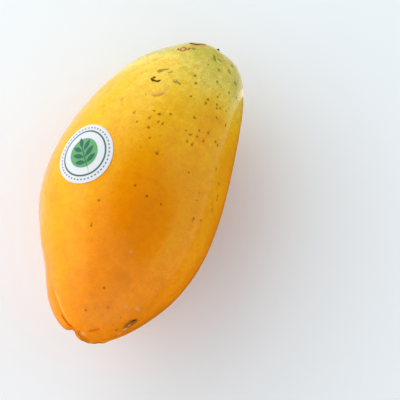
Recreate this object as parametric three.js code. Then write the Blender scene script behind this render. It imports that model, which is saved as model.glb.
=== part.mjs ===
// Papaya: one ripe fruit lying on its side, with the dry stub of its stem and a small oval label.
// Millimetres, +Z up. The fruit's long axis runs along Y, with the blossom end at -Y and the stem
// end at +Y. The origin is in the middle of the flat spot on which the fruit rests.
//
// A place on the skin is given by two angles. The angle along runs from 0 at the blossom end to pi
// at the stem end. The angle around is 0 on top and grows towards +X.

import * as THREE from 'three';

// Outline: an ellipse, whose width is changed by the first to fourth cosine of the angle along
const halfLength = 82.7;
const halfWidth = 45.5;
const widthTerms = [-0.052, 0.005, -0.06, 0.016];

// Sideways bend of the middle line, and how much less it is towards the blossom end
const bend = -6.2;
const bendTurn = 4.4;

// Creases between the five carpels: the degrees around of each, and its share of the full depth
const creases = [
  { around: -58, share: 1 },
  { around: 27, share: 0.5 },
  { around: 96, share: 0.75 },
  { around: 150, share: 0.75 },
  { around: 216, share: 0.85 },
];
const creaseDepth = { middle: 0.02, blossomEnd: 0.15, stemEnd: 0.15 };   // shares of the radius
const creaseReach = { blossomEnd: 1.25, stemEnd: 1.14 };                 // radians along
const creaseWidth = { ends: 14, middle: 26 };                            // degrees around
const creaseRounding = { ends: 2.5, middle: 18.5 };                      // degrees around

// A flattened side near the blossom end, and a fuller carpel beside it
const flatSide = { along: 0.83, alongWidth: 0.28, around: -98, aroundWidth: 35, depth: 0.125 };
const fullCarpel = { reach: 0.9, around: -94, aroundWidth: 25, height: 0.04 };

// Hollows at the two ends
const stemHollow = { depth: 2.4, reach: 8.5 };
const blossomPit = { depth: 1.2, reach: 4 };

// How the fruit lies: its stem end dips, and the middle of its axis is above the resting spot
const dip = 4;
const axisCentre = new THREE.Vector3(6, 2, 43.6);

const gap = 0.3;
const stub = { radius: 4.4, height: 3.2, sides: 24 };
const label = { along: 1.485, around: -33.7, length: 33.5, width: 31.5, turn: -54, thickness: 0.6 };

const aroundSteps = 84;
const alongSteps = 46;

const radians = THREE.MathUtils.degToRad;
const bell = (distance, width) => Math.exp(-((distance / width) ** 2));
const ramp = (value) => THREE.MathUtils.clamp(value, 0, 1);

// The shortest turn from one angle around to another, whose place is given in degrees
function turnFrom(around, degrees) {
  const turn = around - radians(degrees);
  return Math.atan2(Math.sin(turn), Math.cos(turn));
}

// How deep the creases cut in at a place, as a share of the radius
function creaseCut(along, around) {
  const middle = Math.sin(along) ** 2;
  const width = radians(THREE.MathUtils.lerp(creaseWidth.ends, creaseWidth.middle, middle));
  const rounding = radians(THREE.MathUtils.lerp(creaseRounding.ends, creaseRounding.middle, middle));
  const nearBlossom = ramp(1 - along / creaseReach.blossomEnd);
  const nearStem = ramp(1 - (Math.PI - along) / creaseReach.stemEnd);
  const depth = creaseDepth.middle
    + creaseDepth.blossomEnd * nearBlossom ** 1.5
    + creaseDepth.stemEnd * nearStem ** 2;
  let cut = 0;
  for (const crease of creases) {
    const offset = Math.hypot(turnFrom(around, crease.around), rounding) - rounding;
    cut += crease.share * Math.exp(-offset / width);
  }
  return depth * cut;
}

// The skin's distance from the middle line
function skinRadius(along, around) {
  let width = 1;
  widthTerms.forEach((term, i) => {
    width += term * Math.cos((i + 1) * along);
  });
  const flattening = flatSide.depth
    * bell(turnFrom(around, flatSide.around), radians(flatSide.aroundWidth))
    * bell(along - flatSide.along, flatSide.alongWidth);
  const filling = fullCarpel.height
    * bell(turnFrom(around, fullCarpel.around), radians(fullCarpel.aroundWidth))
    * ramp(1 - along / fullCarpel.reach);
  const round = halfWidth * Math.sin(along) * width;
  return round * (1 - creaseCut(along, around)) * (1 - flattening) * (1 + filling);
}

// A point on the skin, about the middle of the fruit's own axis
function skinPoint(along, around) {
  const radius = skinRadius(along, around);
  const towardsBlossom = Math.cos(along);
  const sideways = Math.sin(along) ** 2 * (bend + bendTurn * towardsBlossom);
  const hollow = towardsBlossom > 0
    ? blossomPit.depth * bell(radius, blossomPit.reach)
    : -stemHollow.depth * bell(radius, stemHollow.reach);
  return new THREE.Vector3(
    sideways + radius * Math.sin(around),
    -halfLength * towardsBlossom + hollow,
    radius * Math.cos(around),
  );
}

// Lays a geometry that was made about the fruit's own axis down on its resting spot
function lay(geometry) {
  geometry.rotateX(-radians(dip));
  return geometry.translate(axisCentre.x, axisCentre.y, axisCentre.z);
}

function makeFruit() {
  const geometry = new THREE.SphereGeometry(1, aroundSteps, alongSteps);
  const position = geometry.attributes.position;
  const uv = geometry.attributes.uv;
  for (let i = 0; i < position.count; i += 1) {
    const around = Math.atan2(position.getX(i), position.getZ(i));
    const point = skinPoint(Math.PI * uv.getY(i), around);
    position.setXYZ(i, point.x, point.y, point.z);
  }
  lay(geometry);
  for (let i = 0; i < position.count; i += 1) {
    position.setZ(i, Math.max(position.getZ(i), 0));   // the flat resting spot
  }
  return geometry;
}

// The stem's cut stub stands in the hollow at the stem end
function makeStemStub() {
  const { radius, height, sides } = stub;
  const profile = [
    [0, 0],
    [radius * 0.9, 0],
    [radius, height * 0.12],
    [radius * 0.9, height * 0.35],
    [radius * 0.86, height * 0.85],
    [radius * 0.74, height],
    [radius * 0.3, height * 0.93],
    [0, height * 0.86],
  ].map(([x, y]) => new THREE.Vector2(x, y));
  const geometry = new THREE.LatheGeometry(profile, sides);
  const floor = Math.max(skinPoint(Math.PI, 0).y, ...rimHeights(radius));
  return lay(geometry.translate(0, floor + gap, 0));
}

// How far along the axis the skin reaches in a circle round the stem end's pole
function rimHeights(radius) {
  const heights = [];
  for (let around = 0; around < 360; around += 15) {
    let along = Math.PI;
    while (skinRadius(along, radians(around)) < radius) {
      along -= 0.005;
    }
    heights.push(skinPoint(along, radians(around)).y);
  }
  return heights;
}

// The label is a thin disc bent onto the skin, a gap above it
function makeLabel() {
  const rings = [0.3, 0.65, 1];
  const profile = [
    new THREE.Vector2(0, 0),
    ...rings.map((r) => new THREE.Vector2(r, 0)),
    ...rings.toReversed().map((r) => new THREE.Vector2(r, 1)),
    new THREE.Vector2(0, 1),
  ];
  const geometry = new THREE.LatheGeometry(profile, 36);
  const step = 0.001;
  const around = radians(label.around);
  const centre = skinPoint(label.along, around);
  const alongScale = centre.distanceTo(skinPoint(label.along + step, around)) / step;
  const aroundScale = centre.distanceTo(skinPoint(label.along, around + step)) / step;
  const position = geometry.attributes.position;
  for (let i = 0; i < position.count; i += 1) {
    const flat = new THREE.Vector2(
      position.getX(i) * label.length / 2,
      position.getZ(i) * label.width / 2,
    ).rotateAround(new THREE.Vector2(), radians(label.turn));
    const a = label.along + flat.x / alongScale;
    const b = around + flat.y / aroundScale;
    const point = skinPoint(a, b);
    const forward = skinPoint(a + step, b).sub(point);
    const sideways = skinPoint(a, b + step).sub(point);
    const lift = gap + label.thickness * position.getY(i);
    point.addScaledVector(sideways.cross(forward).normalize(), lift);
    position.setXYZ(i, point.x, point.y, point.z);
  }
  return lay(geometry);
}

function addPiece(group, name, geometry, look) {
  geometry.computeVertexNormals();
  const mesh = new THREE.Mesh(geometry, new THREE.MeshStandardMaterial(look));
  mesh.name = name;
  group.add(mesh);
}

const papaya = new THREE.Group();
addPiece(papaya, 'fruit', makeFruit(), { color: '#f0a52c', roughness: 0.4, metalness: 0 });
addPiece(papaya, 'stem_stub', makeStemStub(), { color: '#4f4532', roughness: 0.9, metalness: 0 });
addPiece(papaya, 'label', makeLabel(), { color: '#eef0ef', roughness: 0.5, metalness: 0 });

export default papaya;
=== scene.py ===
import math
import random

import bmesh
import bpy
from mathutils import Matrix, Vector, kdtree, noise


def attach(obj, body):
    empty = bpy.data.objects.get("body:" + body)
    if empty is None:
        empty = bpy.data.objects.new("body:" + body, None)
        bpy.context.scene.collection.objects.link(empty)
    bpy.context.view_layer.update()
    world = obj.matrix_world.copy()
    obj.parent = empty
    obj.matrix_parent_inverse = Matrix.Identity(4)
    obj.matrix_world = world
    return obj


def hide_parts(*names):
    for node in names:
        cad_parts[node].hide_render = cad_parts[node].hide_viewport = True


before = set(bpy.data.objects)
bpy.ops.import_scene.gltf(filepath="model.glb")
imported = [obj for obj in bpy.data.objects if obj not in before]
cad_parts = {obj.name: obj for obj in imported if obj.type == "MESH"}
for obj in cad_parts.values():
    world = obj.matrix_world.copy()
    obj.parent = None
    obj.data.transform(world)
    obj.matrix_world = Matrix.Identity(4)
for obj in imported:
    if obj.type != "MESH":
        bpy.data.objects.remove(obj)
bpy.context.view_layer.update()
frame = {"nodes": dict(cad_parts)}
mm = 0.001  # the dictionaries below are in millimetres and degrees
print("frame loaded:", ", ".join(frame["nodes"]))

cameraPlan = {
    "azimuth": 24,
    "elevation": 74.6,
    "distance": 900,
    "aim": (31.4, 8.4, 43.6),
    "lens": 162,
    "sensor": 36,
}


def directionOf(azimuth, elevation):
    turn, rise = math.radians(azimuth), math.radians(elevation)
    level = math.cos(rise)
    return Vector((math.sin(turn) * level, -math.cos(turn) * level, math.sin(rise)))


def makeCamera(plan):
    data = bpy.data.cameras.new("camera")
    data.lens = plan["lens"]
    data.sensor_width = plan["sensor"]
    camera = bpy.data.objects.new("camera", data)
    back = directionOf(plan["azimuth"], plan["elevation"])
    camera.location = (Vector(plan["aim"]) + back * plan["distance"]) * mm
    camera.rotation_mode = "QUATERNION"
    camera.rotation_quaternion = (-back).to_track_quat("-Z", "Y")
    bpy.context.scene.collection.objects.link(camera)
    bpy.context.scene.camera = camera


makeCamera(cameraPlan)
print("camera placed")


# sRGB hex to linear RGBA
def colour(hexCode):
    channels = [int(hexCode[i:i + 2], 16) / 255 for i in (1, 3, 5)]
    linear = [c / 12.92 if c <= 0.04045 else ((c + 0.055) / 1.055) ** 2.4 for c in channels]
    return (*linear, 1)


# Adds a node with its settings and its inputs, each a value or another node's output, and gives the
# output asked for. A colour ramp's stops are one of its settings.
def addNode(tree, kind, settings=None, inputs=None, output=0):
    node = tree.nodes.new(kind)
    for name, value in (settings or {}).items():
        if name == "stops":
            elements = node.color_ramp.elements
            elements.remove(elements[1])
            elements[0].position = value[0][0]
            elements[0].color = colour(value[0][1])
            for position, hexCode in value[1:]:
                elements.new(position).color = colour(hexCode)
        else:
            setattr(node, name, value)
    for socket, value in (inputs or {}).items():
        if isinstance(value, bpy.types.NodeSocket):
            tree.links.new(value, node.inputs[socket])
        else:
            node.inputs[socket].default_value = value
    return node.outputs[output] if node.outputs else None


def newMaterial(name):
    material = bpy.data.materials.new(name)
    material.use_nodes = True
    material.node_tree.nodes.clear()
    return material, material.node_tree


def newObject(bm, name, material):
    mesh = bpy.data.meshes.new(name)
    bm.to_mesh(mesh)
    bm.free()
    mesh.materials.append(material)
    made = bpy.data.objects.new(name, mesh)
    bpy.context.scene.collection.objects.link(made)
    return made


def finishPiece(bm, name, material, node):
    bmesh.ops.recalc_face_normals(bm, faces=bm.faces)
    piece = newObject(bm, name, material)
    piece.data.polygons.foreach_set("use_smooth", [True] * len(piece.data.polygons))
    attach(piece, "root")
    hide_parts(node)


# The fruit's form, in the same numbers as its solid. A place on the skin is an angle along, from 0
# at the blossom end to 180 at the stem end, and an angle around, 0 on top and growing towards +X.
form = {
    "halfLength": 82.7,
    "halfWidth": 45.5,
    "widthTerms": (-0.052, 0.005, -0.06, 0.016),  # of the first to fourth cosine of the angle along
    "bend": -6.2,  # of the middle line, sideways
    "bendTurn": 4.4,  # how much less it bends towards the blossom end
    "creases": ((-58, 1), (27, 0.5), (96, 0.75), (150, 0.75), (216, 0.85)),  # around and share
    "firstCreaseTurn": (40, 15),  # how far the first crease turns at the tip, and up to where
    "creaseDepth": (0.02, 0.15, 0.15),  # shares of the radius: middle, blossom end, stem end
    "creaseReach": (1.25, 1.14),  # radians along, from the blossom end and from the stem end
    "creaseWidth": (14, 26),  # at the ends and in the middle
    "creaseRounding": (2.5, 18.5),
    "flatSide": (0.83, 0.28, -98, 35, 0.125),  # along and its width (radians), around, width, depth
    "fullCarpel": (0.9, -94, 25, 0.04),  # reach (radians), around, width, height
    "stemHollow": (2.4, 8.5),  # depth and reach
    "blossomPit": (1.2, 4),
    "dip": 4,  # of the stem end
    "axisCentre": (6, 2, 43.6),
}


def bell(distance, width):
    return math.exp(-((distance / width) ** 2))


def clamp(value):
    return min(max(value, 0), 1)


def turnFrom(around, degrees):
    return math.remainder(around - math.radians(degrees), math.tau)


# Each crease's offset from a place on the skin, in radians around, with its share
def creaseOffsets(along, around):
    turn, reach = form["firstCreaseTurn"]
    shift = turn * bell(along, math.radians(reach))
    for place, share in form["creases"]:
        yield turnFrom(around, place + shift), share
        shift = 0


def creaseCut(along, around):
    middle = math.sin(along) ** 2
    endWidth, middleWidth = form["creaseWidth"]
    endRounding, middleRounding = form["creaseRounding"]
    width = math.radians(endWidth + (middleWidth - endWidth) * middle)
    rounding = math.radians(endRounding + (middleRounding - endRounding) * middle)
    atMiddle, atBlossom, atStem = form["creaseDepth"]
    blossomReach, stemReach = form["creaseReach"]
    depth = atMiddle
    depth += atBlossom * clamp(1 - along / blossomReach) ** 1.5
    depth += atStem * clamp(1 - (math.pi - along) / stemReach) ** 2
    cut = 0
    for offset, share in creaseOffsets(along, around):
        rounded = math.hypot(offset, rounding) - rounding
        cut += share * math.exp(-rounded / width)
    return depth * cut


def skinRadius(along, around):
    width = 1
    for i, term in enumerate(form["widthTerms"]):
        width += term * math.cos((i + 1) * along)
    place, length, side, spread, depth = form["flatSide"]
    flattening = depth * bell(turnFrom(around, side), math.radians(spread)) * bell(along - place, length)
    reach, side, spread, height = form["fullCarpel"]
    filling = height * bell(turnFrom(around, side), math.radians(spread)) * clamp(1 - along / reach)
    plain = form["halfWidth"] * math.sin(along) * width
    return plain * (1 - creaseCut(along, around)) * (1 - flattening) * (1 + filling)


def layDown(x, y, z):
    dip = math.radians(form["dip"])
    turned = Vector((x, y * math.cos(dip) + z * math.sin(dip), z * math.cos(dip) - y * math.sin(dip)))
    return (turned + Vector(form["axisCentre"])) * mm


# A point on the skin, in metres in the frame; angles in radians
def skinPoint(along, around):
    radius = skinRadius(along, around)
    towardsBlossom = math.cos(along)
    sideways = math.sin(along) ** 2 * (form["bend"] + form["bendTurn"] * towardsBlossom)
    if towardsBlossom > 0:
        depth, reach = form["blossomPit"]
    else:
        depth, reach = form["stemHollow"]
        depth = -depth
    return layDown(
        sideways + radius * math.sin(around),
        -form["halfLength"] * towardsBlossom + depth * bell(radius, reach),
        radius * math.cos(around),
    )


def skinNormal(along, around):
    step = 0.002
    here = skinPoint(along, around)
    forward = skinPoint(along + step, around) - here
    sideways = skinPoint(along, around + step) - here
    return sideways.cross(forward).normalized()


# Soft swells that a grown skin has: the height and the length of each
swell = {"wide": (0.3, 28), "middle": (0.1, 11), "fine": (0.02, 4.5)}


def swellHeight(point):
    height = 0
    for size, length in swell.values():
        height += size * noise.noise(point / (length * mm))
    return height * mm


# Small hollows and lumps: height and radius, and a path of (along, around) places
lumps = {
    "tipNotch": (-2.3, 2.3, [(8, -32), (5.5, -57), (4.5, -85), (5.5, -112), (8.5, -129), (10.5, -141),
                             (14.5, -149), (18.5, -157)]),
    "tipLip": (0.55, 3, [(8.5, 150), (9.5, 132), (13, 118), (18, 111)]),
    "tipLipEnd": (0.35, 2, [(18.5, 110)]),
    "stemDimple": (-0.35, 5, [(148.5, 19)]),
    "stemRise": (0.75, 6, [(153, -22), (157, -17), (159, -9), (160, 0)]),
    "shoulderDip": (-0.6, 6, [(145, -43), (149, -38)]),
    "shoulderRise": (0.45, 6, [(134.5, -61), (137, -54)]),
    "rightDip": (-0.6, 7, [(147, 65), (143, 69)]),
    "flankDip": (-0.45, 7, [(65, -71)]),
    "flankRise": (0.6, 7, [(55, -73.5)]),
    "scabDimple": (-0.3, 4, [(36, 70)]),
}


def placeOf(degrees):
    return skinPoint(math.radians(degrees[0]), math.radians(degrees[1]))


lumpPlaces = {name: [placeOf(place) for place in lump[2]] for name, lump in lumps.items()}


def lumpHeight(point):
    total = 0
    for name, places in lumpPlaces.items():
        height, radius = lumps[name][:2]
        distance = min((point - place).length for place in places)
        if distance < 3 * radius * mm:  # further off there is nothing left of it
            total += height * bell(distance, radius * mm)
    return total * mm


# The sharp fold at the bottom of each crease, towards the blossom end
fold = {
    "depth": 1.8,
    "width": 0.8,
    "reach": 0.68,  # radians along
    "fading": 0.7,  # the power by which it fades along its reach
    "start": 6,  # the radius by which it has its full depth
    "sharpness": 6,  # the power of a crease's share, so that only the deepest ones fold
    "red": 0.5,  # how strongly its painted shade shows
}


def foldDepth(along, around):
    near = clamp(1 - along / fold["reach"]) ** fold["fading"]
    radius = form["halfWidth"] * math.sin(along)
    cut = 0
    for offset, share in creaseOffsets(along, around):
        cut += share ** fold["sharpness"] * math.exp(-abs(offset) * radius / fold["width"])
    return fold["depth"] * near * clamp(radius / fold["start"]) * cut * mm


# What can mark the skin: its colour, how much of it shows, and its relief in millimetres
kinds = {
    "pink": {"colour": "#d69868", "share": 0.6, "relief": 0.03},  # healed scar
    "pale": {"colour": "#d6cf84", "share": 0.6, "relief": 0.02},  # waxy bloom
    "lip": {"colour": "#ffcf72", "share": 0.45, "relief": 0.12},  # painted highlight along a crease's lip, over a slightly raised real lip
    "green": {"colour": "#66752c", "share": 0.7, "relief": -0.03},  # unripe fleck
    "amber": {"colour": "#a05404", "share": 0.5, "relief": -0.04},  # young speck
    "speck": {"colour": "#4a3400", "share": 0.66, "relief": -0.08},  # lenticel
    "red": {"colour": "#d64c00", "share": 0.62, "relief": -0.4},  # painted shade in folds and creases, over real hollows
    "cork": {"colour": "#864a16", "share": 0.82, "relief": 0.2},
    "chalk": {"colour": "#dcb98a", "share": 0.7, "relief": 0.25},  # dried sap
    "dark": {"colour": "#301302", "share": 0.93, "relief": -0.14},  # dry crack
}

# Marks: each has a kind, a size across and a path of (along, around) places
marks = {
    "ringScarPatch": ("pink", 3, [(143.9, -23.2), (144.4, -18.4), (147.6, -17.6)]),
    "ringScar": ("cork", 0.75, [(145.4, -22.6), (146.9, -22.2), (146.4, -18), (144.4, -16), (142.9, -17.4),
                                (143.5, -20.4), (145.4, -22.6)]),
    "ringScarTail": ("cork", 1, [(145, -25.5), (143.6, -23.4), (143.2, -21.2)]),
    "ringScarHook": ("cork", 0.9, [(145, -14.8), (146, -14.2), (147.6, -14.6)]),
    "dryLineEdge": ("pink", 1.8, [(149.5, -20.1), (149.9, -15.9), (152, -11.3), (156, -6)]),
    "dryLine": ("dark", 2, [(154.6, -25), (153.2, -21.6), (153.6, -16.5), (154.8, -13.1)]),
    "dryLineEnd": ("cork", 1.5, [(154.8, -13.1), (156.4, -10.4), (158.4, -7.4)]),
    "greenSpotTop": ("green", 2.1, [(147.9, -11.7), (148.2, -9)]),
    "greenDash": ("green", 1.5, [(125.7, -18.5), (126.9, -17.2), (127.8, -15.1), (128.6, -12.8)]),
    "greenDashHead": ("green", 2.4, [(126, -18), (127, -16.5)]),
    "amberDash": ("amber", 1.3, [(126.8, -10.3), (128, -7.9)]),
    "blackDot": ("dark", 1.5, [(122.2, -17.4)]),
    "smileLeft": ("dark", 1.5, [(121.3, -18.6), (120.7, -16.5), (120.7, -14.9)]),
    "smileRight": ("dark", 1.3, [(120.6, -14.8), (120.9, -12.5), (121.7, -11.6)]),
    "pinkArcEdge": ("amber", 1.1, [(113.9, -9.6), (114.1, -7), (115, -4.7), (116.4, -3)]),
    "pinkArc": ("pink", 1.3, [(114.9, -10.7), (114.8, -8.3), (115.5, -5.9), (116.9, -4.1), (118.5, -3),
                              (120.2, -3)]),
    "sapSpotRim": ("green", 2.2, [(123.9, -0.9)]),
    "sapSpotTail": ("green", 1.2, [(123.9, 1), (123.4, 3.8)]),
    "sapSpot": ("chalk", 1, [(124.1, -1.1)]),
    "oliveDashTop": ("green", 1.7, [(151.3, 14.4), (149.2, 16.9), (147.4, 19.1)]),
    "oliveDashSide": ("green", 1.5, [(150.6, 21), (150.2, 23.2), (149.7, 25.7)]),
    "bloomStreak": ("pale", 1.3, [(148.6, 21.7), (148.2, 24.3), (147.7, 26.7)]),
    # a dark line along the edge beside the stem
    "stemEdgeLine": ("speck", 0.9, [(162.5, 2), (163.5, 9), (164, 15)]),
    "oliveDashRight": ("speck", 1.5, [(153.6, 43.3), (152.6, 46.1)]),
    "oliveDashLower": ("green", 1.9, [(146.6, 38.4), (145.2, 41.6)]),
    "oliveDashEdge": ("green", 2, [(142, 50.5), (141.3, 54)]),
    "oliveSpot": ("green", 1.7, [(141.8, 27.4)]),
    "oliveSpotUpper": ("green", 1.1, [(141.4, 14.6)]),
    "pinkSpot": ("pink", 1.6, [(58.8, 19.8)]),
    "sapFleck": ("chalk", 0.8, [(72.1, -33.4)]),
    "flankSpeck": ("amber", 1.6, [(70.2, -62.3)]),
    "pinkFleck": ("pink", 1.6, [(39.4, 42.2)]),
    "sapStreak": ("pink", 1.2, [(41.3, 53.4), (41.7, 59)]),
    "sapStreakGlint": ("chalk", 0.6, [(41.6, 53), (41.9, 55)]),
    "amberFleck": ("amber", 1.6, [(34.4, 26.8)]),
    "amberFleckRight": ("amber", 1, [(27.8, 50.3)]),
    "scab": ("cork", 5.4, [(31.8, 69), (33.6, 68.2), (35.2, 67.6), (36.8, 68.4)]),
    "scabCrack": ("dark", 1.1, [(35.6, 65.6), (36.8, 66.4), (37.6, 68.2)]),
    "scabSap": ("chalk", 1.7, [(30.2, 72), (31.8, 71)]),
    "scabSapLine": ("chalk", 0.7, [(32.8, 69.6), (34.2, 68.4)]),
    "brownSpot": ("cork", 1.3, [(26.9, 63.5)]),
    "brownSpeck": ("cork", 1.2, [(41.5, 12.5)]),
    "brownSpeckLow": ("cork", 1, [(27.5, 3)]),
    "brownSpotLow": ("cork", 1.9, [(24.6, 84.5)]),
    "pinkSpotLow": ("pink", 2.2, [(27.4, 78.9)]),
    # painted highlight along the crease's lip
    "creaseLipHighlight": ("lip", 0.9, [(33, -51.5), (31.6, -49.9), (26.5, -45), (20.8, -41.2), (15.1, -32.9)]),
    # painted shade in the crease and in a small fold, over real hollows
    "creaseShadeLine": ("red", 0.7, [(20.3, -57), (16.9, -51.5), (13.1, -46), (10.4, -38)]),
    "shadedFold": ("red", 1.5, [(16, 29.7), (17.3, 34.7), (19.1, 37.6), (20.9, 39.8)]),
    # painted shade on the lower side of the tip, in the young-speck colour
    "tipShade": ("amber", 3, [(6, 165), (6.8, 150), (5.7, 66)]),
    "tipPatch": ("pink", 2.6, [(10.9, 17), (9.6, 28)]),
    "tipPatchGlint": ("chalk", 1, [(10, 22)]),
    "tipCrack": ("dark", 0.7, [(10.6, 2.5), (9.6, 6)]),
    "tipSpot": ("cork", 1.4, [(2.8, 128.1)]),
    "tipScar": ("cork", 3, [(0.5, 0)]),
    # painted contact shade along the underside of the tip, in the cork colour
    "tipUnderShade": ("cork", 1.8, [(5.5, 136), (9.7, 131), (12.7, 112), (16, 106)]),
}

# Specks (lenticels) that stand out: size across, then the (along, around) of each
specks = {
    1.5: [(93.5, 11), (134.5, 30.5), (107.5, 1.5), (121.5, 28.5), (127.5, 14), (101, -0.5), (123.5, 29),
          (133.5, 46.5), (103, 30), (110, 47.5)],
    1.35: [(78.5, 15), (131, 10), (127.5, 36), (81, 50.5), (122.5, 39), (120.5, 15.5), (135, 59),
           (113, 24.5), (119, 53), (109.5, 8.5), (70.5, -12), (109.5, 50.5), (124, 38), (111, 39)],
    1.15: [(80, 6), (101.5, -9), (125.5, 69), (123.5, 42), (97.5, 3), (104.5, -3), (104.5, 3.5),
           (93.5, 34.5), (106.5, 22.5), (104.5, 6.5), (94, 65.5), (107, 37.5), (124.5, 49),
           (82.5, 57.5), (109.5, 31.5), (104.5, -14), (119, 41.5), (61.5, -12.5), (103, 26), (98, 63),
           (78.5, 25), (108, -2.5), (106, 26), (101.5, 55.5), (93, 66.5), (107, 31.5)],
}

# How a mark is drawn, as a chain of dots: shares of its size, and one length
stroke = {
    "spacing": 0.25,  # of the dots
    "thinning": 0.4,  # how much thinner it is at both ends
    "edge": (0.35, 0.65),  # where it fades, from its middle line
    "refined": 0.7,  # how far out the mesh is made finer
    "ragged": 0.22,  # how much its edge wavers
    "raggedLength": 1.3,  # of the wavering, in millimetres
}

# Loose specks: small faint ones all over, and a cluster towards the stem end
scatter = {
    "seed": 7,
    "count": 150,
    "sizes": (0.4, 0.95),
    "atTip": 0.25,  # how close together they are at the blossom end, with 1 at the stem end
    "front": 72,  # specks nearer the top than this, in degrees around, are faint
    "labelClear": 22,  # no loose speck lands this near to the label's middle
    "cluster": {"along": 118, "around": 40, "spread": (17, 24), "count": 30, "sizes": (0.35, 0.6)},
}

# The label's place, size and bend
labelPlan = {
    "along": 1.485,  # radians
    "around": -33.7,
    "length": 33.5,
    "width": 31.5,
    "turn": -54,
    "lift": 0.05,
    "thickness": 0.16,
    "curl": 0.12,  # how far its free edge lifts, at the lower right
    "curlFrom": 0.8,  # share of the way out where it starts to lift
    "curlTowards": (33.5, 40),  # to the right and down, over which it lifts
    "sides": 120,
}


# Every mark as a list of (kind, size, point), with its path filled in and thinner at both ends
def allMarks():
    made = []
    for kind, size, path in marks.values():
        stops = [placeOf(place) for place in path]
        lengths = [(end - start).length for start, end in zip(stops, stops[1:])]
        total, gone = sum(lengths), 0
        made.append((kind, size if total == 0 else size * (1 - stroke["thinning"]), stops[0]))
        for (start, end), length in zip(zip(path, path[1:]), lengths):
            steps = max(2, round(length / (stroke["spacing"] * size * mm)))
            for i in range(1, steps + 1):
                share = i / steps
                thinner = stroke["thinning"] * abs(2 * (gone + share * length) / total - 1) ** 3
                point = placeOf([a + (b - a) * share for a, b in zip(start, end)])
                made.append((kind, size * (1 - thinner), point))
            gone += length
    for size, places in specks.items():
        for place in places:
            made.append(("speck", size, placeOf(place)))
    return made + scatteredSpecks()


def scatteredSpecks():
    draw = random.Random(scatter["seed"])
    labelMiddle = skinPoint(labelPlan["along"], math.radians(labelPlan["around"]))
    made, atTip = [], scatter["atTip"]
    while len(made) < scatter["count"]:
        along = math.acos(draw.uniform(-1, 1))
        around = draw.uniform(-math.pi, math.pi)
        size = draw.uniform(*scatter["sizes"])
        keep = draw.random() < atTip + (1 - atTip) * along / math.pi
        point = skinPoint(along, around)
        if keep and (point - labelMiddle).length > scatter["labelClear"] * mm:
            faint = abs(around) < math.radians(scatter["front"])
            made.append(("amber" if faint else "speck", size, point))
    cluster = scatter["cluster"]
    for i in range(cluster["count"]):
        place = [draw.gauss(cluster[name], spread) for name, spread in
                 zip(("along", "around"), cluster["spread"])]
        made.append(("speck", draw.uniform(*cluster["sizes"]), placeOf(place)))
    return made


# The place on the skin for a direction from the middle of the ball that it is shaped from
def angles(direction):
    return math.acos(max(-1, min(1, -direction.z))), math.atan2(direction.y, direction.x)


# Splits the faces near each mark, so that its edge and its relief are fine enough
def refineNear(bm, found, reach, cuts):
    faces = list(bm.faces)
    tree = kdtree.KDTree(len(faces))
    for i, face in enumerate(faces):
        tree.insert(skinPoint(*angles(face.calc_center_median().normalized())), i)
    tree.balance()
    chosen = set()
    for kind, size, point in found:
        for spot in tree.find_range(point, (size * stroke["refined"] + reach) * mm):
            chosen.update(faces[spot[1]].edges)
    bmesh.ops.subdivide_edges(bm, edges=list(chosen), cuts=cuts, use_grid_fill=True)


# Sets each kind of mark's strength on the points near it: 1 in its middle, 0 just past its edge
def paintMarks(bm, found):
    layers = {kind: bm.verts.layers.float.new(kind) for kind in kinds}
    vertices = list(bm.verts)
    tree = kdtree.KDTree(len(vertices))
    for i, vertex in enumerate(vertices):
        tree.insert(vertex.co, i)
    tree.balance()
    inside, outside = stroke["edge"]
    farthest = outside / (1 - stroke["ragged"])
    for kind, size, point in found:
        layer = layers[kind]
        for spot in tree.find_range(point, farthest * size * mm):
            vertex = vertices[spot[1]]
            waver = stroke["ragged"] * noise.noise(vertex.co / (stroke["raggedLength"] * mm))
            share = spot[2] / (size * mm) * (1 + waver)
            vertex[layer] = max(vertex[layer], clamp((outside - share) / (outside - inside)))
    return layers


# Where the skin is still green or yellow: from 0 where it is deep orange to 1 where it is green
ripening = {
    "start": -0.68,
    "ripest": -0.1,  # what counts as 0, or fully ripe
    "green": {"amount": 0.43, "from": 129, "tilt": 4.4, "towards": 138, "softness": 6.2},
    "yellow": {"amount": 0.97, "side": 0.36, "towards": -19, "reach": 210},
    # riper and greener patches: amount, along, around, reach and width
    "patches": [(-0.25, 70, 10, 32, 31), (-0.2, 136, -16, 9, 15), (0.2, 138, 66, 17, 24),
                (0.1, 78, 74, 30, 22), (-0.05, 110, 36, 11, 13), (0.34, 146, -75, 15, 26),
                (-0.06, 36, 5, 20, 38), (0.07, 72, 41, 14, 10), (0.05, 30, -66, 14, 34)],
    "deep": {"along": 74, "around": 14, "reach": 20, "width": 25},  # a darker, deeper orange patch on the front middle: partly the skin's deeper colour, partly painted shade
}


def unripeness(along, around):
    degrees = math.degrees(along)
    green, yellow = ripening["green"], ripening["yellow"]
    edge = green["from"] - green["tilt"] * math.cos(turnFrom(around, green["towards"]))
    share = ripening["start"] + green["amount"] / (1 + math.exp((edge - degrees) / green["softness"]))
    side = yellow["amount"] + yellow["side"] * math.cos(turnFrom(around, yellow["towards"]))
    share += side * bell(180 - degrees, yellow["reach"])
    for amount, place, side, reach, width in ripening["patches"]:
        across = bell(turnFrom(around, side), math.radians(width))
        share += amount * across * bell(degrees - place, reach)
    return clamp((share - ripening["ripest"]) / (1 - ripening["ripest"]))


# How much of the darker front patch a place has, which is partly painted shade
def deepShare(along, around):
    deep = ripening["deep"]
    across = bell(turnFrom(around, deep["around"]), math.radians(deep["width"]))
    return across * bell(math.degrees(along) - deep["along"], deep["reach"])


skinPlan = {
    "around": 210,
    "along": 134,
    "refining": ((0.5, 1), (0.2, 2)),  # each pass's reach past a mark, and its cuts
    "grain": (6, 1.5),  # streaks per radian around and along
}


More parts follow.
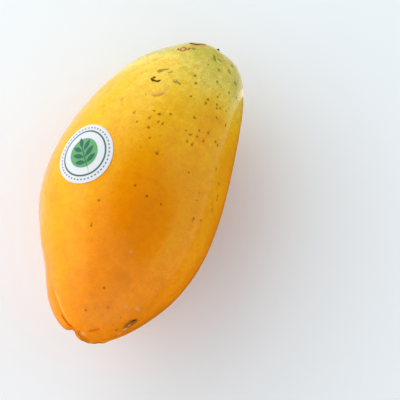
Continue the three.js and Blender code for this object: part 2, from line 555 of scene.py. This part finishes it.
# A ball that is made finer near the marks, shaped to the fruit and given its marks and its relief
def makeSkin():
    found = allMarks()
    bm = bmesh.new()
    bmesh.ops.create_uvsphere(bm, u_segments=skinPlan["around"], v_segments=skinPlan["along"], radius=1)
    for reach, cuts in skinPlan["refining"]:
        refineNear(bm, found, reach, cuts)
    unripe = bm.verts.layers.float.new("unripe")
    deep = bm.verts.layers.float.new("deep")
    grain = bm.verts.layers.float_vector.new("grain")
    perAround, perAlong = skinPlan["grain"]
    normals, shapes, creased = [], [], []
    for vertex in bm.verts:
        along, around = angles(vertex.co.normalized())
        vertex.co = skinPoint(along, around)
        inFold = foldDepth(along, around)
        creased.append(clamp(inFold / (fold["depth"] * mm)))
        shapes.append(lumpHeight(vertex.co) - inFold)
        vertex[unripe] = unripeness(along, around)
        vertex[deep] = deepShare(along, around)
        vertex[grain] = Vector((perAround * math.cos(around), perAround * math.sin(around),
                                perAlong * along))
        beside = min(max(along, 0.01), math.pi - 0.01)  # a pole has no direction around
        normals.append(skinNormal(beside, around))
    layers = paintMarks(bm, found)
    # painted shade in each crease's fold, as strong as the fold is deep
    for vertex, share in zip(bm.verts, creased):
        vertex[layers["red"]] = max(vertex[layers["red"]], fold["red"] * share)
    for vertex, normal, height in zip(bm.verts, normals, shapes):
        height += swellHeight(vertex.co)
        for kind, layer in layers.items():
            height += kinds[kind]["relief"] * mm * vertex[layer]
        vertex.co += normal * height
        vertex.co.z = max(vertex.co.z, 0)  # the flat resting spot
    return bm


# Papaya skin: a grown, waxy fruit skin. It gives the eye a soft sheen over saturated colour that runs
# from yellow green at the stem to orange, with cloudy mottling, corky scars and small dark specks.
skinLook = {
    "sizes": {"clouds": 12, "mottle": 3.6, "pores": 0.9},  # of the patterns, on the real skin
    "shifts": {"clouds": 0.26, "streaks": 0.28, "mottle": 0.26},  # of the ripening, by each pattern
    "variety": (0.35, 0.9),  # how much of these shifts ripe skin has, and how much more green skin has
    "ripening": [(0.0, "#e27e03"), (0.12, "#ee8b04"), (0.2, "#f29405"), (0.26, "#ef9c06"),
                 (0.35, "#eaa405"), (0.5, "#eab30e"), (0.65, "#e7c136"), (0.8, "#dfca58"),
                 (1.0, "#c2b43a")],
    # the darker front patch: partly deeper ripe colour, partly painted shade
    "deep": {"colour": "#cf7200", "share": 0.5},
    "cloudLight": (0.9, 0.2),  # the least light, and how much the clouds add
    "poreLight": (0.22, 0.45),  # how much the pores change it on ripe skin, and how much more on green
    "bloom": 0.16,  # how much a pale or a dark blotch of the wax changes it
    "bloomFrom": 0.2,  # the share of the bloom that ripe skin has
    "roughness": (0.19, 0.4),  # of clean skin, and of a full mark
    "gloss": (0.5, -0.53),  # of clean skin, and what a full mark adds
    "bump": {"Strength": 0.15, "Distance": 0.1 * mm},
}


def skinMaterial():
    look = skinLook
    material, tree = newMaterial("papaya_skin")
    place = addNode(tree, "ShaderNodeTexCoord", output="Object")
    grain = addNode(tree, "ShaderNodeAttribute", {"attribute_name": "grain"}, output="Vector")
    unripe = addNode(tree, "ShaderNodeAttribute", {"attribute_name": "unripe"}, output="Fac")
    deep = addNode(tree, "ShaderNodeAttribute", {"attribute_name": "deep"}, output="Fac")
    scales = {name: 1 / (size * mm) for name, size in look["sizes"].items()}
    clouds = addNode(tree, "ShaderNodeTexNoise", None,
                     {"Vector": place, "Scale": scales["clouds"], "Detail": 5, "Distortion": 0.8})
    streaks = addNode(tree, "ShaderNodeTexNoise", None,
                      {"Vector": grain, "Scale": 1, "Detail": 4, "Distortion": 0.4})
    mottle = addNode(tree, "ShaderNodeTexNoise", None,
                     {"Vector": place, "Scale": scales["mottle"], "Detail": 4, "Distortion": 0.6})
    pores = addNode(tree, "ShaderNodeTexNoise", None,
                    {"Vector": place, "Scale": scales["pores"], "Detail": 2})

    # colour, from how ripe the skin is
    least, more = look["variety"]
    variety = addNode(tree, "ShaderNodeMath", {"operation": "MULTIPLY_ADD"}, {0: unripe, 1: more, 2: least})
    ripeness = unripe
    for name, pattern in (("clouds", clouds), ("streaks", streaks), ("mottle", mottle)):
        most = look["shifts"][name]
        shift = addNode(tree, "ShaderNodeMath", {"operation": "MULTIPLY_ADD"},
                        {0: pattern, 1: most, 2: -most / 2})
        ripeness = addNode(tree, "ShaderNodeMath", {"operation": "MULTIPLY_ADD"},
                           {0: shift, 1: variety, 2: ripeness})
    base = addNode(tree, "ShaderNodeValToRGB", {"stops": look["ripening"]}, {"Fac": ripeness})

    # lighter and darker places
    least, more = look["cloudLight"]
    light = addNode(tree, "ShaderNodeMath", {"operation": "MULTIPLY_ADD"}, {0: clouds, 1: more, 2: least})
    least, more = look["poreLight"]
    dots = addNode(tree, "ShaderNodeMath", {"operation": "SUBTRACT"}, {0: pores, 1: 0.5})
    amount = addNode(tree, "ShaderNodeMath", {"operation": "MULTIPLY_ADD"}, {0: unripe, 1: more, 2: least})
    light = addNode(tree, "ShaderNodeMath", {"operation": "MULTIPLY_ADD"}, {0: dots, 1: amount, 2: light})
    bloom = addNode(tree, "ShaderNodeMapRange", None,
                    {"Value": mottle, "From Min": 0.35, "From Max": 0.65, "To Min": -look["bloom"],
                     "To Max": look["bloom"]})
    amount = addNode(tree, "ShaderNodeMapRange", None,
                     {"Value": unripe, "From Min": 0.6, "From Max": 0.9, "To Min": look["bloomFrom"]})
    light = addNode(tree, "ShaderNodeMath", {"operation": "MULTIPLY_ADD"}, {0: bloom, 1: amount, 2: light})
    base = addNode(tree, "ShaderNodeVectorMath", {"operation": "SCALE"}, {0: base, "Scale": light})
    # the darker front patch, partly painted shade
    amount = addNode(tree, "ShaderNodeMath", {"operation": "MULTIPLY"}, {0: deep, 1: look["deep"]["share"]})
    base = addNode(tree, "ShaderNodeMix", {"data_type": "RGBA"},
                   {"Factor": amount, 6: base, 7: colour(look["deep"]["colour"])}, 2)

    # the marks, which are also rougher and duller than clean skin
    marked = 0.0
    for kind, plan in kinds.items():
        weight = addNode(tree, "ShaderNodeAttribute", {"attribute_name": kind}, output="Fac")
        amount = addNode(tree, "ShaderNodeMath", {"operation": "MULTIPLY"}, {0: weight, 1: plan["share"]})
        base = addNode(tree, "ShaderNodeMix", {"data_type": "RGBA"},
                       {"Factor": amount, 6: base, 7: colour(plan["colour"])}, 2)
        marked = addNode(tree, "ShaderNodeMath", {"operation": "MAXIMUM"}, {0: marked, 1: amount})
    smooth, rough = look["roughness"]
    roughness = addNode(tree, "ShaderNodeMapRange", None,
                        {"Value": marked, "To Min": smooth, "To Max": rough})
    clean, change = look["gloss"]
    gloss = addNode(tree, "ShaderNodeMath", {"operation": "MULTIPLY_ADD"}, {0: marked, 1: change, 2: clean})
    bumps = addNode(tree, "ShaderNodeMath", {"operation": "MULTIPLY_ADD"}, {0: mottle, 1: 0.6, 2: pores})
    bump = addNode(tree, "ShaderNodeBump", None, {"Height": bumps, **look["bump"]})
    shader = addNode(tree, "ShaderNodeBsdfPrincipled", None,
                     {"Base Color": base, "Roughness": roughness, "Normal": bump, "IOR": 1.25,
                      "Specular IOR Level": gloss})
    addNode(tree, "ShaderNodeOutputMaterial", None, {"Surface": shader})
    return material


finishPiece(makeSkin(), "papaya_fruit", skinMaterial(), "fruit")
print("fruit made")


# Spins a profile of (radius, height) points, which starts and ends on the axis, round the Z axis
def spinProfile(points, steps):
    bm = bmesh.new()
    chain = [bm.verts.new((radius, 0, height)) for radius, height in points]
    edges = [bm.edges.new(pair) for pair in zip(chain, chain[1:])]
    bmesh.ops.spin(bm, geom=chain + edges, cent=(0, 0, 0), axis=(0, 0, 1), angle=math.tau,
                   steps=steps, use_merge=True)
    bmesh.ops.remove_doubles(bm, verts=bm.verts, dist=1e-5)
    return bm


# The thin paper label is bent onto the skin: x runs to the right, and y towards the stem
def onSkin(x, y, lift):
    along, around = labelPlan["along"], math.radians(labelPlan["around"])
    centre = skinPoint(along, around)
    step = 0.001
    alongScale = (skinPoint(along + step, around) - centre).length / step
    aroundScale = (skinPoint(along, around + step) - centre).length / step
    along += y * mm / alongScale
    around += x * mm / aroundScale
    point = skinPoint(along, around)
    return point + skinNormal(along, around) * (lift * mm + swellHeight(point))


# From the label's own long and wide directions to x and y
def turned(long, wide):
    turn = math.radians(labelPlan["turn"])
    return (long * math.sin(turn) + wide * math.cos(turn),
            long * math.cos(turn) - wide * math.sin(turn))


def makeLabel():
    plan = labelPlan
    rings = [i / 12 for i in range(12)] + [0.97]
    rim = [(0.995, 0.0), (1.0, 0.3), (1.0, 0.75), (0.994, 1.0)]
    profile = [(r, 0.0) for r in rings] + rim + [(r, 1.0) for r in reversed(rings)]
    bm = spinProfile(profile, plan["sides"])
    right, down = plan["curlTowards"]
    printed = {}
    for vertex in bm.verts:
        long, wide, level = vertex.co
        printed[vertex] = turned(long, wide)
        x, y = turned(long * plan["length"] / 2, wide * plan["width"] / 2)
        nearRim = clamp((math.hypot(long, wide) - plan["curlFrom"]) / (1 - plan["curlFrom"]))
        curl = plan["curl"] * nearRim ** 2 * clamp(0.5 + x / right - y / down)
        vertex.co = onSkin(x, y, plan["lift"] + plan["thickness"] * level + curl)
    uv = bm.loops.layers.uv.new("print")
    for face in bm.faces:
        for loop in face.loops:
            loop[uv].uv = printed[loop.vert]
    return bm


# The label's print, with its radius as 1: a sprig on a disc, in a ring, with short bars round it
printPlan = {
    "paper": "#d2d5da",
    "dark": "#215c49",
    "light": "#559c60",
    "grey": "#465256",
    "blur": 0.012,  # how far the ink's edges fade
    "ring": {"radius": 0.755, "line": 0.055},
    "bars": {"radius": 0.875, "count": 44, "length": 0.062, "width": 0.04},
    "disc": 0.5,  # its radius
    "turn": 38,  # of the sprig
    # its stem and leaves: x, y, turn, half length and half width
    "leaves": [(0.0, -0.08, 90, 0.56, 0.022), (0.0, 0.38, 90, 0.2, 0.075), (0.17, 0.2, 48, 0.2, 0.075),
               (-0.17, 0.2, 132, 0.2, 0.075), (0.2, -0.04, 36, 0.22, 0.08), (-0.2, -0.04, 144, 0.22, 0.08),
               (0.19, -0.28, 24, 0.2, 0.075), (-0.19, -0.28, 156, 0.2, 0.075)],
}


# Label paper: white coated paper with a flat ink print. It gives the eye crisp ink on a soft sheen.
def labelMaterial():
    plan = printPlan
    material, tree = newMaterial("label_paper")
    place = addNode(tree, "ShaderNodeUVMap", {"uv_map": "print"})
    radius = addNode(tree, "ShaderNodeVectorMath", {"operation": "LENGTH"}, {0: place}, "Value")
    base = colour(plan["paper"])
    inks = []  # for each, how far inside its edge a place is, and its colour

    inside = addNode(tree, "ShaderNodeMath", {"operation": "SUBTRACT"}, {0: plan["disc"], 1: radius})
    inks.append((inside, plan["light"]))

    offset = addNode(tree, "ShaderNodeMath", {"operation": "SUBTRACT"},
                     {0: radius, 1: plan["ring"]["radius"]})
    offset = addNode(tree, "ShaderNodeMath", {"operation": "ABSOLUTE"}, {0: offset})
    inside = addNode(tree, "ShaderNodeMath", {"operation": "SUBTRACT"},
                     {0: plan["ring"]["line"] / 2, 1: offset})
    inks.append((inside, plan["dark"]))

    sprig = addNode(tree, "ShaderNodeMapping", {"vector_type": "TEXTURE"},
                    {"Vector": place, "Rotation": (0, 0, math.radians(plan["turn"]))})
    for x, y, turn, length, width in plan["leaves"]:
        # each leaf is the space between two shallow curves: |y| is under width * (1 - x * x)
        local = addNode(tree, "ShaderNodeMapping", {"vector_type": "TEXTURE"},
                        {"Vector": sprig, "Location": (x, y, 0), "Rotation": (0, 0, math.radians(turn)),
                         "Scale": (length, 1, 1)})
        alongLeaf = addNode(tree, "ShaderNodeSeparateXYZ", None, {0: local}, "X")
        acrossLeaf = addNode(tree, "ShaderNodeSeparateXYZ", None, {0: local}, "Y")
        square = addNode(tree, "ShaderNodeMath", {"operation": "MULTIPLY"}, {0: alongLeaf, 1: alongLeaf})
        edge = addNode(tree, "ShaderNodeMath", {"operation": "MULTIPLY_ADD"},
                       {0: square, 1: -width, 2: width})
        across = addNode(tree, "ShaderNodeMath", {"operation": "ABSOLUTE"}, {0: acrossLeaf})
        inside = addNode(tree, "ShaderNodeMath", {"operation": "SUBTRACT"}, {0: edge, 1: across})
        inks.append((inside, plan["dark"]))

    bars = plan["bars"]
    x = addNode(tree, "ShaderNodeSeparateXYZ", None, {0: place}, "X")
    y = addNode(tree, "ShaderNodeSeparateXYZ", None, {0: place}, "Y")
    turn = addNode(tree, "ShaderNodeMath", {"operation": "ARCTAN2"}, {0: y, 1: x})
    step = math.tau / bars["count"]
    turn = addNode(tree, "ShaderNodeMath", {"operation": "WRAP"}, {0: turn, 1: step / 2, 2: -step / 2})
    turn = addNode(tree, "ShaderNodeMath", {"operation": "ABSOLUTE"}, {0: turn})
    alongBar = addNode(tree, "ShaderNodeMath", {"operation": "MULTIPLY_ADD"},
                       {0: turn, 1: -bars["radius"], 2: bars["length"] / 2})
    offset = addNode(tree, "ShaderNodeMath", {"operation": "SUBTRACT"}, {0: radius, 1: bars["radius"]})
    offset = addNode(tree, "ShaderNodeMath", {"operation": "ABSOLUTE"}, {0: offset})
    acrossBar = addNode(tree, "ShaderNodeMath", {"operation": "SUBTRACT"}, {0: bars["width"] / 2, 1: offset})
    inside = addNode(tree, "ShaderNodeMath", {"operation": "MINIMUM"}, {0: alongBar, 1: acrossBar})
    inks.append((inside, plan["grey"]))

    for inside, ink in inks:
        amount = addNode(tree, "ShaderNodeMapRange", None,
                         {"Value": inside, "From Min": -plan["blur"], "From Max": plan["blur"]})
        base = addNode(tree, "ShaderNodeMix", {"data_type": "RGBA"},
                       {"Factor": amount, 6: base, 7: colour(ink)}, 2)
    shader = addNode(tree, "ShaderNodeBsdfPrincipled", None,
                     {"Base Color": base, "Roughness": 0.5, "IOR": 1.35})
    addNode(tree, "ShaderNodeOutputMaterial", None, {"Surface": shader})
    return material


finishPiece(makeLabel(), "paper_label", labelMaterial(), "label")
print("label made")

stubPlan = {
    "radius": 4.4,
    "height": 3.2,
    "sides": 72,
    "base": 81.1,  # where its foot is along the fruit's axis
    "level": 0.82,  # the share of its height that is left round the nib
    # where it broke off: degrees around, width in radians, and shares of the height and the radius
    "nib": {"around": 22, "width": 0.35, "rise": 0.34, "flare": 0.25},
    "ridges": (0.05, 5, 1.5),  # height, and how close they are around and up
    "pits": (0.03, 9),  # depth, and how close they are
}


# The dry stub of the stem, with a nib on one side
def makeStub():
    plan = stubPlan
    nib = plan["nib"]
    profile = [(0, 0), (0.5, 0), (0.9, 0), (1, 0.1), (0.95, 0.2), (0.82, 0.32), (0.7, 0.46), (0.64, 0.64),
               (0.62, 0.82), (0.6, 0.93), (0.54, 1), (0.44, 0.98), (0.32, 0.94), (0.2, 0.9), (0.1, 0.87),
               (0, 0.86)]
    bm = spinProfile(profile, plan["sides"])
    ridge, closeAround, closeUp = plan["ridges"]
    pit, close = plan["pits"]
    for vertex in bm.verts:
        x, y, z = vertex.co
        turn = math.atan2(y, x)
        towardsNib = bell(turnFrom(turn, nib["around"]), nib["width"])
        around = Vector((math.cos(turn), math.sin(turn), 0)) * closeAround
        fibre = ridge * noise.noise(around + Vector((0, 0, z * closeUp)))
        fibre += pit * noise.noise(Vector((x * close, y * close, 3)))
        wide = (1 + fibre + nib["flare"] * towardsNib * z) * plan["radius"]
        high = z * (plan["level"] + fibre + nib["rise"] * towardsNib) * plan["height"]
        vertex.co = layDown(y * wide, plan["base"] + high, x * wide)
    return bm


# Dry stem: cut and weathered plant fibre. It gives the eye a dull, dark, slightly streaked wood.
def stubMaterial():
    material, tree = newMaterial("dry_stem")
    place = addNode(tree, "ShaderNodeTexCoord", output="Object")
    streaks = addNode(tree, "ShaderNodeTexNoise", None,
                      {"Vector": place, "Scale": 1 / (0.9 * mm), "Detail": 4})
    base = addNode(tree, "ShaderNodeValToRGB",
                   {"stops": [(0.3, "#0c0803"), (0.5, "#1e170b"), (0.7, "#453820")]}, {"Fac": streaks})
    bump = addNode(tree, "ShaderNodeBump", None,
                   {"Height": streaks, "Strength": 0.6, "Distance": 0.4 * mm})
    shader = addNode(tree, "ShaderNodeBsdfPrincipled", None,
                     {"Base Color": base, "Roughness": 0.85, "Normal": bump, "IOR": 1.2})
    addNode(tree, "ShaderNodeOutputMaterial", None, {"Surface": shader})
    return material


finishPiece(makeStub(), "stem_end", stubMaterial(), "stem_stub")
print("stem stub made")

floorPlan = {"size": 6000, "colour": "#ecf4f9"}


def makeFloor(plan):
    material, tree = newMaterial("floor_paper")
    shader = addNode(tree, "ShaderNodeBsdfPrincipled", None,
                     {"Base Color": colour(plan["colour"]), "Roughness": 0.8})
    addNode(tree, "ShaderNodeOutputMaterial", None, {"Surface": shader})
    bm = bmesh.new()
    bmesh.ops.create_grid(bm, x_segments=1, y_segments=1, size=plan["size"] / 2 * mm)
    newObject(bm, "floor", material)


makeFloor(floorPlan)
print("floor laid")

# A card bent round the front and the right of the fruit, which only its gloss can see: a gold sheet that it
# reflects, and a glowing one from its outer rim on, seen only as a pale reflected streak. The rims are parts
# of ellipses, each with a height.
cardPlan = {
    "azimuths": (-35, 192),
    "steps": 44,
    "rims": [(12, 24, 0.5), (110, 146, 42), (118, 154, 55)],  # half width, half length and height
    "taper": 0.35,  # the last share of the way round, where it draws in towards the inner rim
    "leastReach": 0.02,
    "brightFrom": 0.6,  # the share of the way round where the bright sheet starts
    "fade": 0.13,  # the share over which an end fades
    "gold": "#b8791c",
    "bright": "#ffffff",
    "glow": 1.6,
}


def makeCard(plan):
    bm = bmesh.new()
    strength = bm.verts.layers.float.new("strength")
    bright = bm.verts.layers.float.new("bright")
    start, end = plan["azimuths"]
    for sheet in (0, 1):
        grid = bmesh.ops.create_grid(bm, x_segments=plan["steps"], y_segments=1, size=0.5)
        for vertex in grid["verts"]:
            share = vertex.co.x + 0.5
            rim = sheet + (1 if vertex.co.y > 0 else 0)
            towards = directionOf(start + (end - start) * share, 0)
            inner, outer = (Vector((towards.x * wide, towards.y * long, height)) * mm
                            for wide, long, height in (plan["rims"][0], plan["rims"][rim]))
            reach = max(clamp((1 - share) / plan["taper"]), plan["leastReach"])
            vertex.co = inner.lerp(outer, reach)
            fromEnd = min(share - plan["brightFrom"], 1 - share) if sheet == 1 else share
            vertex[strength] = clamp(fromEnd / plan["fade"])
            vertex[bright] = sheet
    card = newObject(bm, "card", cardMaterial(plan))
    card.visible_camera = card.visible_diffuse = card.visible_shadow = False


def cardMaterial(plan):
    material, tree = newMaterial("gold_card")
    amount = addNode(tree, "ShaderNodeAttribute", {"attribute_name": "strength"}, output="Fac")
    isBright = addNode(tree, "ShaderNodeAttribute", {"attribute_name": "bright"}, output="Fac")
    clear = addNode(tree, "ShaderNodeBsdfTransparent")
    gold = addNode(tree, "ShaderNodeBsdfPrincipled", None,
                   {"Base Color": colour(plan["gold"]), "Roughness": 0.9})
    glow = addNode(tree, "ShaderNodeEmission", None,
                   {"Color": colour(plan["bright"]), "Strength": plan["glow"]})
    paper = addNode(tree, "ShaderNodeMixShader", None, {0: isBright, 1: gold, 2: glow})
    shader = addNode(tree, "ShaderNodeMixShader", None, {0: amount, 1: clear, 2: paper})
    addNode(tree, "ShaderNodeOutputMaterial", None, {"Surface": shader})
    return material


makeCard(cardPlan)
print("card bent round the fruit")

# Soft lights: azimuth and elevation as the camera's, distance, width and height, power in watts
lights = {
    "window": {"azimuth": 238, "elevation": 24, "distance": 1100, "size": (1500, 800), "power": 6.2},
    "sideWall": {"azimuth": 305, "elevation": 26, "distance": 1100, "size": (1300, 800), "power": 3.4},
    "frontWall": {"azimuth": 15, "elevation": 18, "distance": 1100, "size": (1200, 600), "power": 1.4},
    "fill": {"azimuth": 108, "elevation": 54, "distance": 1000, "size": (900, 900), "power": 1.45},
}
skyPlan = {
    "bright": "#ffffff",
    "dark": "#0a0a0c",
    "softness": 4,  # of the dark openings' edges, in degrees
    "openings": [(150, 76, 29), (95, 48, 26)],  # azimuth, elevation and radius
}


def makeLight(name, plan):
    data = bpy.data.lights.new(name, "AREA")
    data.shape = "RECTANGLE"
    data.size, data.size_y = (length * mm for length in plan["size"])
    data.energy = plan["power"]
    light = bpy.data.objects.new(name, data)
    back = directionOf(plan["azimuth"], plan["elevation"])
    light.location = back * plan["distance"] * mm
    light.rotation_mode = "QUATERNION"
    light.rotation_quaternion = (-back).to_track_quat("-Z", "Y")
    light.visible_glossy = name != "fill"  # the fill leaves no reflection
    bpy.context.scene.collection.objects.link(light)


# The room: bright all round, with dark openings overhead and high on one side
def makeSky(plan):
    world = bpy.data.worlds.new("studio")
    world.use_nodes = True
    tree = world.node_tree
    tree.nodes.clear()
    direction = addNode(tree, "ShaderNodeTexCoord", output="Generated")
    shade = colour(plan["bright"])
    for azimuth, elevation, radius in plan["openings"]:
        towards = directionOf(azimuth, elevation)
        amount = addNode(tree, "ShaderNodeVectorMath", {"operation": "DOT_PRODUCT"},
                         {0: direction, 1: towards}, "Value")
        amount = addNode(tree, "ShaderNodeMapRange", {"interpolation_type": "SMOOTHSTEP"},
                         {"Value": amount, "From Min": math.cos(math.radians(radius + plan["softness"])),
                          "From Max": math.cos(math.radians(radius - plan["softness"]))})
        shade = addNode(tree, "ShaderNodeMix", {"data_type": "RGBA"},
                        {"Factor": amount, 6: shade, 7: colour(plan["dark"])}, 2)
    background = addNode(tree, "ShaderNodeBackground", None, {"Color": shade})
    addNode(tree, "ShaderNodeOutputWorld", None, {"Surface": background})
    bpy.context.scene.world = world


for name, plan in lights.items():
    makeLight(name, plan)
makeSky(skyPlan)
bpy.context.scene.view_settings.view_transform = "Standard"
print("stage lit")
